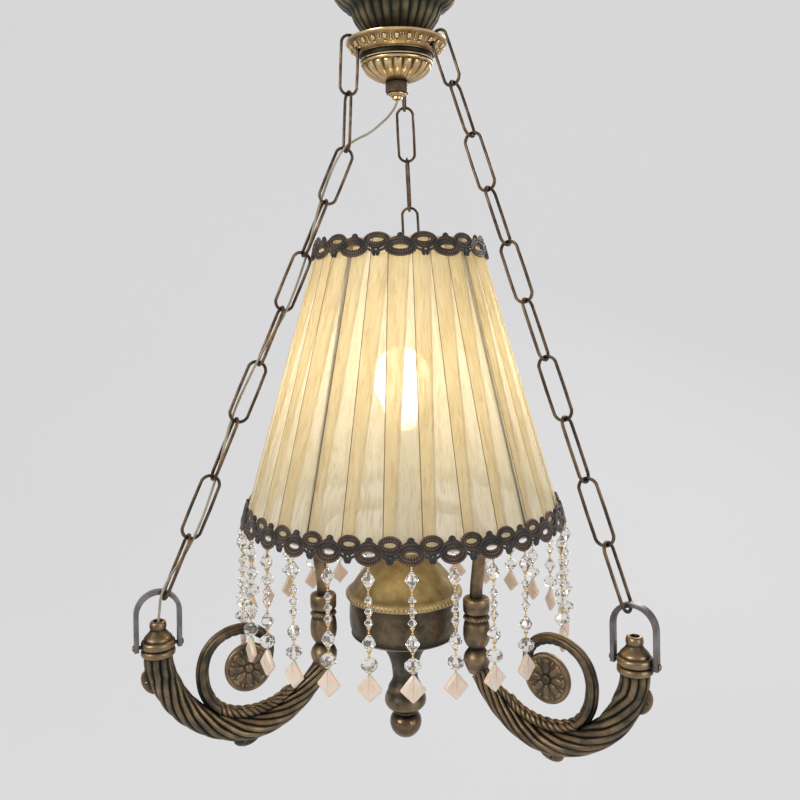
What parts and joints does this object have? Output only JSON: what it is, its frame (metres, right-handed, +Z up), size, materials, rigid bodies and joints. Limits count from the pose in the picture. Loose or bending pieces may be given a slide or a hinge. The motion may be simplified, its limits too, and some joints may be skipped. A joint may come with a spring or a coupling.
{
  "type": "chandelier",
  "caption": "Hanging lamp: cast scroll arms on chains carry a hub, one bulb, a pleated cone shade with braid edges and crystal strands.",
  "frame": {"origin": "middle of the ceiling bracket's top face, where it is screwed to the ceiling", "axes": "+Z up into the ceiling; the front is -Y; the three arms stand at 60, -60 and 180 degrees from -Y towards +X"},
  "size_m": [0.48, 0.4529, 0.805],
  "materials": {
    "bronze": "dark antique bronze plating, rubbed golden brown on the high spots",
    "brass": "aged yellow brass, satin",
    "steel": "dull grey steel",
    "fabric": "cream pleated sheer over a lining",
    "braid": "dark bronze-grey looped gimp braid",
    "crystal": "clear faceted crystal",
    "opal": "frosted bulb glass, lit warm white",
    "moulding": "dark moulded lamp holder",
    "flex": "ivory translucent flex"
  },
  "bodies": {
    "root": {"ceiling_yoke": "steel", "canopy": "bronze", "crown_ring": "brass", "crown_dome": "brass", "crown_nipple": "brass", "crown_nut": "brass"},
    "lamp_frame": {"arm_right": "bronze", "horn_cap_right": "bronze", "neck_tube_right": "bronze", "arm_left": "bronze", "horn_cap_left": "bronze", "neck_tube_left": "bronze", "arm_back": "bronze", "horn_cap_back": "bronze", "neck_tube_back": "bronze", "centre_rod": "steel", "column_cover": "brass", "column_cup": "bronze", "column_finial": "bronze", "lamp_holder": "moulding", "shade_ring": "moulding", "shade_frame": "steel", "shade_cover": "fabric", "trim_top": "braid", "trim_bottom": "braid"},
    "bulb": {"bulb": "opal"},
    "chain_right": {"chain_right": "bronze"},
    "shackle_right": {"shackle_right": "steel"},
    "chain_left": {"chain_left": "bronze", "cord": "flex"},
    "shackle_left": {"shackle_left": "steel"},
    "chain_back": {"chain_back": "bronze"},
    "shackle_back": {"shackle_back": "steel"},
    "strand_01": {"strand_01": "crystal"},
    "strand_02": {"strand_02": "crystal"},
    "strand_03": {"strand_03": "crystal"},
    "strand_04": {"strand_04": "crystal"},
    "strand_05": {"strand_05": "crystal"},
    "strand_06": {"strand_06": "crystal"},
    "strand_07": {"strand_07": "crystal"},
    "strand_08": {"strand_08": "crystal"},
    "strand_09": {"strand_09": "crystal"},
    "strand_10": {"strand_10": "crystal"},
    "strand_11": {"strand_11": "crystal"},
    "strand_12": {"strand_12": "crystal"},
    "strand_13": {"strand_13": "crystal"},
    "strand_14": {"strand_14": "crystal"},
    "strand_15": {"strand_15": "crystal"},
    "strand_16": {"strand_16": "crystal"},
    "strand_17": {"strand_17": "crystal"},
    "strand_18": {"strand_18": "crystal"},
    "strand_19": {"strand_19": "crystal"},
    "strand_20": {"strand_20": "crystal"},
    "strand_21": {"strand_21": "crystal"},
    "strand_22": {"strand_22": "crystal"},
    "strand_23": {"strand_23": "crystal"},
    "strand_24": {"strand_24": "crystal"},
    "strand_25": {"strand_25": "crystal"},
    "strand_26": {"strand_26": "crystal"},
    "strand_27": {"strand_27": "crystal"}
  },
  "joints": [
    {"name": "frame_twist", "type": "hinge", "parent": "root", "child": "lamp_frame", "pos_m": [0, 0, -0.0655], "axis": [0, 0, 1], "range_deg": [-8, 8], "stiffness_Nm_per_rad": 0.9},
    {"name": "chain_right_swing", "type": "hinge", "parent": "root", "child": "chain_right", "pos_m": [0.0456, -0.02633, -0.0655], "axis": [0, 0, 1], "range_deg": [-10.3, 10.3]},
    {"name": "shackle_right_tilt", "type": "hinge", "parent": "lamp_frame", "child": "shackle_right", "pos_m": [0.2204, -0.12725, -0.664], "axis": [0.866, -0.5, 0], "range_deg": [-2, 2], "stiffness_Nm_per_rad": 0.05},
    {"name": "chain_left_swing", "type": "hinge", "parent": "root", "child": "chain_left", "pos_m": [-0.0456, -0.02633, -0.0655], "axis": [0, 0, 1], "range_deg": [-10.3, 10.3], "deforming": ["cord"]},
    {"name": "shackle_left_tilt", "type": "hinge", "parent": "lamp_frame", "child": "shackle_left", "pos_m": [-0.2204, -0.12725, -0.664], "axis": [-0.866, -0.5, 0], "range_deg": [-2, 2], "stiffness_Nm_per_rad": 0.05},
    {"name": "chain_back_swing", "type": "hinge", "parent": "root", "child": "chain_back", "pos_m": [0, 0.05265, -0.0655], "axis": [0, 0, 1], "range_deg": [-10.3, 10.3]},
    {"name": "shackle_back_tilt", "type": "hinge", "parent": "lamp_frame", "child": "shackle_back", "pos_m": [0, 0.2545, -0.664], "axis": [0, 1, 0], "range_deg": [-2, 2], "stiffness_Nm_per_rad": 0.05},
    {"name": "bulb_turn", "type": "hinge", "parent": "lamp_frame", "child": "bulb", "pos_m": [0, 0, -0.477], "axis": [0, 0, 1], "range_deg": [0, 90]},
    {"name": "strand_01_swing", "type": "hinge", "parent": "lamp_frame", "child": "strand_01", "pos_m": [-0.01126, -0.16948, -0.5713], "axis": [-0.9978, 0.0663, 0], "range_deg": [-8, 36]},
    {"name": "strand_02_swing", "type": "hinge", "parent": "lamp_frame", "child": "strand_02", "pos_m": [0.02674, -0.16773, -0.5713], "axis": [-0.9875, -0.1574, 0], "range_deg": [-8, 36]},
    {"name": "strand_03_swing", "type": "hinge", "parent": "lamp_frame", "child": "strand_03", "pos_m": [0.06339, -0.15758, -0.5713], "axis": [-0.9277, -0.3732, 0], "range_deg": [-8, 36]},
    {"name": "strand_04_swing", "type": "hinge", "parent": "lamp_frame", "child": "strand_04", "pos_m": [0.09687, -0.13952, -0.5713], "axis": [-0.8214, -0.5703, 0], "range_deg": [-8, 36]},
    {"name": "strand_05_swing", "type": "hinge", "parent": "lamp_frame", "child": "strand_05", "pos_m": [0.12548, -0.11447, -0.5713], "axis": [-0.6739, -0.7388, 0], "range_deg": [-8, 36]},
    {"name": "strand_06_swing", "type": "hinge", "parent": "lamp_frame", "child": "strand_06", "pos_m": [0.16272, -0.04869, -0.5713], "axis": [-0.2866, -0.958, 0], "range_deg": [-8, 36]},
    {"name": "strand_07_swing", "type": "hinge", "parent": "lamp_frame", "child": "strand_07", "pos_m": [0.16948, -0.01126, -0.5713], "axis": [-0.0663, -0.9978, 0], "range_deg": [-8, 36]},
    {"name": "strand_08_swing", "type": "hinge", "parent": "lamp_frame", "child": "strand_08", "pos_m": [0.16773, 0.02674, -0.5713], "axis": [0.1574, -0.9875, 0], "range_deg": [-8, 36]},
    {"name": "strand_09_swing", "type": "hinge", "parent": "lamp_frame", "child": "strand_09", "pos_m": [0.15758, 0.06339, -0.5713], "axis": [0.3732, -0.9277, 0], "range_deg": [-8, 36]},
    {"name": "strand_10_swing", "type": "hinge", "parent": "lamp_frame", "child": "strand_10", "pos_m": [0.13952, 0.09687, -0.5713], "axis": [0.5703, -0.8214, 0], "range_deg": [-8, 36]},
    {"name": "strand_11_swing", "type": "hinge", "parent": "lamp_frame", "child": "strand_11", "pos_m": [0.11447, 0.12548, -0.5713], "axis": [0.7388, -0.6739, 0], "range_deg": [-8, 36]},
    {"name": "strand_12_swing", "type": "hinge", "parent": "lamp_frame", "child": "strand_12", "pos_m": [0.08367, 0.14781, -0.5713], "axis": [0.8702, -0.4926, 0], "range_deg": [-8, 36]},
    {"name": "strand_13_swing", "type": "hinge", "parent": "lamp_frame", "child": "strand_13", "pos_m": [0.04869, 0.16272, -0.5713], "axis": [0.958, -0.2866, 0], "range_deg": [-8, 36]},
    {"name": "strand_14_swing", "type": "hinge", "parent": "lamp_frame", "child": "strand_14", "pos_m": [0.01628, 0.16907, -0.5713], "axis": [0.9954, -0.0958, 0], "range_deg": [-8, 36]},
    {"name": "strand_15_swing", "type": "hinge", "parent": "lamp_frame", "child": "strand_15", "pos_m": [-0.02674, 0.16773, -0.5713], "axis": [0.9875, 0.1574, 0], "range_deg": [-8, 36]},
    {"name": "strand_16_swing", "type": "hinge", "parent": "lamp_frame", "child": "strand_16", "pos_m": [-0.06339, 0.15758, -0.5713], "axis": [0.9277, 0.3732, 0], "range_deg": [-8, 36]},
    {"name": "strand_17_swing", "type": "hinge", "parent": "lamp_frame", "child": "strand_17", "pos_m": [-0.09687, 0.13952, -0.5713], "axis": [0.8214, 0.5703, 0], "range_deg": [-8, 36]},
    {"name": "strand_18_swing", "type": "hinge", "parent": "lamp_frame", "child": "strand_18", "pos_m": [-0.12548, 0.11447, -0.5713], "axis": [0.6739, 0.7388, 0], "range_deg": [-8, 36]},
    {"name": "strand_19_swing", "type": "hinge", "parent": "lamp_frame", "child": "strand_19", "pos_m": [-0.14781, 0.08367, -0.5713], "axis": [0.4926, 0.8702, 0], "range_deg": [-8, 36]},
    {"name": "strand_20_swing", "type": "hinge", "parent": "lamp_frame", "child": "strand_20", "pos_m": [-0.16272, 0.04869, -0.5713], "axis": [0.2866, 0.958, 0], "range_deg": [-8, 36]},
    {"name": "strand_21_swing", "type": "hinge", "parent": "lamp_frame", "child": "strand_21", "pos_m": [-0.16948, 0.01126, -0.5713], "axis": [0.0663, 0.9978, 0], "range_deg": [-8, 36]},
    {"name": "strand_22_swing", "type": "hinge", "parent": "lamp_frame", "child": "strand_22", "pos_m": [-0.16773, -0.02674, -0.5713], "axis": [-0.1574, 0.9875, 0], "range_deg": [-8, 36]},
    {"name": "strand_23_swing", "type": "hinge", "parent": "lamp_frame", "child": "strand_23", "pos_m": [-0.15758, -0.06339, -0.5713], "axis": [-0.3732, 0.9277, 0], "range_deg": [-8, 36]},
    {"name": "strand_24_swing", "type": "hinge", "parent": "lamp_frame", "child": "strand_24", "pos_m": [-0.13833, -0.09856, -0.5713], "axis": [-0.5803, 0.8144, 0], "range_deg": [-8, 36]},
    {"name": "strand_25_swing", "type": "hinge", "parent": "lamp_frame", "child": "strand_25", "pos_m": [-0.11447, -0.12548, -0.5713], "axis": [-0.7388, 0.6739, 0], "range_deg": [-8, 36]},
    {"name": "strand_26_swing", "type": "hinge", "parent": "lamp_frame", "child": "strand_26", "pos_m": [-0.08367, -0.14781, -0.5713], "axis": [-0.8702, 0.4926, 0], "range_deg": [-8, 36]},
    {"name": "strand_27_swing", "type": "hinge", "parent": "lamp_frame", "child": "strand_27", "pos_m": [-0.04869, -0.16272, -0.5713], "axis": [-0.958, 0.2866, 0], "range_deg": [-8, 36]}
  ],
  "couplings": [
    {"joint": "chain_right_swing", "follows": "frame_twist", "ratio": 1.269},
    {"joint": "chain_left_swing", "follows": "frame_twist", "ratio": 1.269},
    {"joint": "chain_back_swing", "follows": "frame_twist", "ratio": 1.269}
  ]
}
